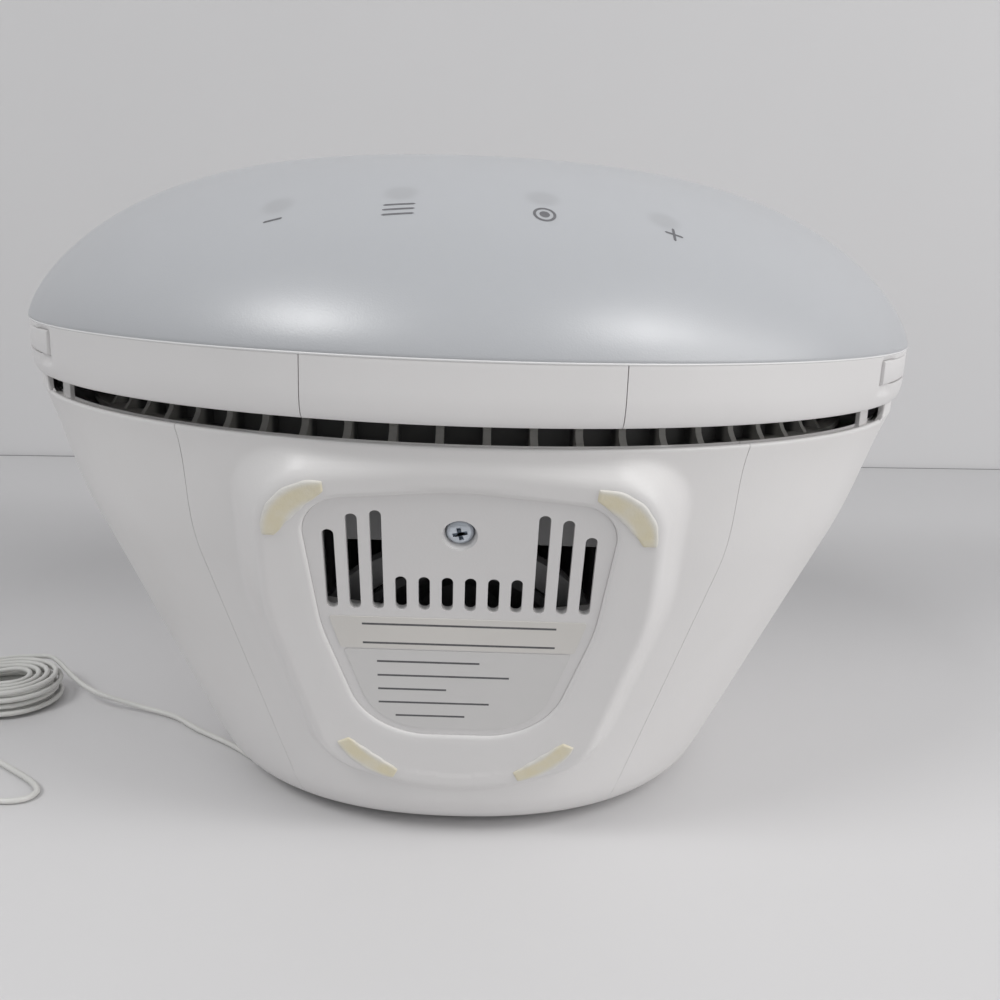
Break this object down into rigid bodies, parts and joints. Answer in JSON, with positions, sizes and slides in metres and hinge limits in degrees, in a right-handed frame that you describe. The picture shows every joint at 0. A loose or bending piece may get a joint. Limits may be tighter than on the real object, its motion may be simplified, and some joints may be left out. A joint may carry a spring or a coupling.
{
  "type": "wake-up light",
  "caption": "Round wake-up light with a frosted dome on a tapered white housing, slanted standing face with vent slots, side keys, and a wire antenna in a hank.",
  "frame": {"origin": "centre of the back, on the surface that the back rests on, on the axis of the dome", "axes": "+Z along the dome's axis, out of the dome; the slanted standing face looks towards -Y; +X to the right seen from that face"},
  "size_m": [0.2514, 0.199, 0.1383],
  "materials": {
    "white_plastic": "satin",
    "frosted_plastic": "frosted",
    "reflector_white": "matt",
    "dark_plastic": "matt",
    "pad_rubber": "matt",
    "strip_paper": "matt",
    "label_paper": "satin",
    "screw_steel": "zinc plated",
    "led_plate": "satin",
    "led_lens": "gloss",
    "grey_plastic": "matt",
    "circuit_board": "satin",
    "ribbon": "satin",
    "speaker_steel": "satin",
    "cone_paper": "matt",
    "wire_jacket": "satin"
  },
  "bodies": {
    "lamp": {"diffuser_dome": "frosted_plastic", "rim_ring": "white_plastic", "rim_lower_insert": "white_plastic", "vent_rib_ring": "dark_plastic", "rear_housing": "white_plastic", "base_shell": "white_plastic", "base_plate": "white_plastic", "base_screw": "screw_steel", "foot_pads": "pad_rubber", "serial_strip": "strip_paper", "rating_label": "label_paper", "reflector": "reflector_white", "led_board": "led_plate", "leds": "led_lens", "display_carrier": "grey_plastic", "display_module": "dark_plastic", "touch_board": "circuit_board", "touch_posts": "grey_plastic", "key_board_left": "circuit_board", "key_board_right": "circuit_board", "key_switches": "dark_plastic", "mid_frame": "grey_plastic", "frame_screws": "screw_steel", "main_board": "circuit_board", "board_components": "dark_plastic", "board_screws": "screw_steel", "ribbon_cable": "ribbon", "connector_bay": "white_plastic", "dc_socket": "dark_plastic", "speaker_bracket": "grey_plastic", "speaker_frame": "speaker_steel", "speaker_cone": "cone_paper", "speaker_magnet": "speaker_steel", "antenna_grommet": "wire_jacket", "antenna_wire": "wire_jacket", "antenna_hank": "wire_jacket", "antenna_tail": "wire_jacket", "hank_tie": "wire_jacket"},
    "right_upper_key_body": {"right_upper_key": "white_plastic"},
    "right_lower_key_body": {"right_lower_key": "white_plastic"},
    "left_upper_key_body": {"left_upper_key": "white_plastic"},
    "left_lower_key_body": {"left_lower_key": "white_plastic"}
  },
  "joints": [
    {"name": "right_upper_key_press", "type": "slide", "parent": "lamp", "child": "right_upper_key_body", "axis": [-0.9409, -0.3387, 0], "range_m": [0, 0.0008], "stiffness_N_per_m": 1500},
    {"name": "right_lower_key_press", "type": "slide", "parent": "lamp", "child": "right_lower_key_body", "axis": [-0.9409, 0.3387, 0], "range_m": [0, 0.0008], "stiffness_N_per_m": 1500},
    {"name": "left_upper_key_press", "type": "slide", "parent": "lamp", "child": "left_upper_key_body", "axis": [0.9409, -0.3387, 0], "range_m": [0, 0.0008], "stiffness_N_per_m": 1500},
    {"name": "left_lower_key_press", "type": "slide", "parent": "lamp", "child": "left_lower_key_body", "axis": [0.9409, 0.3387, 0], "range_m": [0, 0.0008], "stiffness_N_per_m": 1500}
  ]
}
